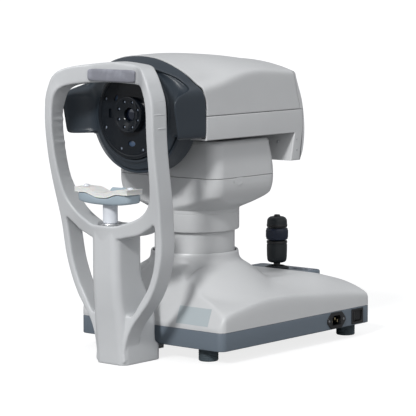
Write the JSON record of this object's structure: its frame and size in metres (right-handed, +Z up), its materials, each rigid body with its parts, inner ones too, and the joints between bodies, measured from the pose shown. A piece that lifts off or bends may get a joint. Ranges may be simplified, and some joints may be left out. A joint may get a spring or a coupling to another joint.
{
  "type": "tabletop auto refractometer",
  "caption": "Tabletop eye-measuring instrument: measuring head on a rising column, chin and forehead rest in front, joystick and keys behind.",
  "frame": {"origin": "middle of the instrument's footprint, at table level", "axes": "+Z up, +Y from the patient's side towards the operator's side, +X to the patient's right-hand side as the chin rest is faced"},
  "size_m": [0.2978, 0.4997, 0.4726],
  "materials": {
    "cover": "fine-grained off-white moulded plastic",
    "frame": "painted off-white moulding, softly rounded",
    "slate": "slate blue-grey moulded plastic",
    "bezel": "dark slate moulded plastic, satin",
    "nose": "near-black gloss plastic",
    "lens": "coated optical glass",
    "led": "clear lamp domes on a ring",
    "screen": "dark screen glass",
    "pad": "soft grey pad",
    "key": "grey key cap",
    "chin_grey": "blue-grey moulded plastic",
    "paper": "stack of white tissue sheets",
    "white": "smooth white plastic",
    "rubber": "black rubber",
    "charcoal": "charcoal plastic",
    "navy": "knurled navy plastic",
    "black": "black plastic",
    "brass": "plated brass",
    "steel": "machined steel",
    "aluminium": "machined aluminium",
    "board": "green circuit board"
  },
  "bodies": {
    "base": {"base_cover": "cover", "base_tray": "slate", "chinrest_bracket": "steel", "chinrest_collar": "steel", "chinrest_frame": "frame", "chinrest_motor": "aluminium", "console_panel": "slate", "foot_front_left": "rubber", "foot_front_right": "rubber", "foot_rear_left": "rubber", "foot_rear_right": "rubber", "forehead_pad": "pad", "inlet_pin_earth": "brass", "inlet_pin_left": "brass", "inlet_pin_right": "brass", "joystick_boot": "rubber", "lift_actuator": "aluminium", "lift_column": "cover", "main_board": "board", "power_inlet": "black", "power_supply": "aluminium", "switch_bezel": "black"},
    "rocker": {"switch_rocker": "black"},
    "chin": {"chin_post": "white", "chin_cup": "chin_grey", "chin_paper": "paper", "paper_pin_left": "white", "paper_pin_right": "white"},
    "gimbal": {"joystick_gimbal": "steel"},
    "stick": {"joystick_shaft": "black", "joystick_grip": "charcoal", "joystick_cap": "charcoal"},
    "stick_ring": {"joystick_ring": "navy"},
    "stick_button": {"joystick_button": "black"},
    "chin_up_key": {"chin_up_key": "key"},
    "chin_down_key": {"chin_down_key": "key"},
    "print_key": {"print_key": "key"},
    "pod": {"pod_lower_shell": "cover", "pod_upper_shell": "cover", "lift_ram": "steel", "pod_platform": "aluminium", "y_rail_left": "steel", "y_rail_right": "steel"},
    "carriage": {"cross_slide": "aluminium", "x_rail_front": "steel", "x_rail_rear": "steel"},
    "head": {"head_lower_cover": "cover", "head_top_cover": "cover", "rear_cover": "cover", "front_bezel": "bezel", "nose_plate": "nose", "lens_bezel": "nose", "objective_lens": "lens", "inner_led_ring": "led", "outer_led_ring": "led", "optics_barrel": "nose", "optical_bench": "aluminium", "display_screen": "screen"}
  },
  "joints": [
    {"name": "head_lift", "type": "slide", "parent": "base", "child": "pod", "axis": [0, 0, 1], "range_m": [-0.02, 0.02]},
    {"name": "head_shift_y", "type": "slide", "parent": "pod", "child": "carriage", "axis": [0, 1, 0], "range_m": [-0.002, 0.024]},
    {"name": "head_shift_x", "type": "slide", "parent": "carriage", "child": "head", "axis": [1, 0, 0], "range_m": [-0.043, 0.043]},
    {"name": "chin_lift", "type": "slide", "parent": "base", "child": "chin", "axis": [0, 0, 1], "range_m": [-0.008, 0.045]},
    {"name": "joystick_tilt_front", "type": "hinge", "parent": "base", "child": "gimbal", "pos_m": [0, 0.1905, 0.098], "axis": [1, 0, 0], "range_deg": [-12, 12], "stiffness_Nm_per_rad": 0.6},
    {"name": "joystick_tilt_side", "type": "hinge", "parent": "gimbal", "child": "stick", "pos_m": [0, 0.1905, 0.098], "axis": [0, 1, 0], "range_deg": [-12, 12], "stiffness_Nm_per_rad": 0.6},
    {"name": "joystick_ring_turn", "type": "hinge", "parent": "stick", "child": "stick_ring", "pos_m": [0, 0.1905, 0.163], "axis": [0, 0, 1], "continuous": true},
    {"name": "joystick_button_press", "type": "slide", "parent": "stick", "child": "stick_button", "axis": [0, 0, 1], "range_m": [-0.0015, 0], "stiffness_N_per_m": 800, "springref_m": 0.0005},
    {"name": "switch_rock", "type": "hinge", "parent": "base", "child": "rocker", "pos_m": [0.143, 0.215, 0.0364], "axis": [0, 0, 1], "range_deg": [-12, 0]},
    {"name": "chin_up_press", "type": "slide", "parent": "base", "child": "chin_up_key", "axis": [0, 0, 1], "range_m": [-0.0012, 0], "stiffness_N_per_m": 900, "springref_m": 0.0005},
    {"name": "chin_down_press", "type": "slide", "parent": "base", "child": "chin_down_key", "axis": [0, 0, 1], "range_m": [-0.0012, 0], "stiffness_N_per_m": 900, "springref_m": 0.0005},
    {"name": "print_press", "type": "slide", "parent": "base", "child": "print_key", "axis": [0, 0, 1], "range_m": [-0.0012, 0], "stiffness_N_per_m": 900, "springref_m": 0.0005}
  ]
}
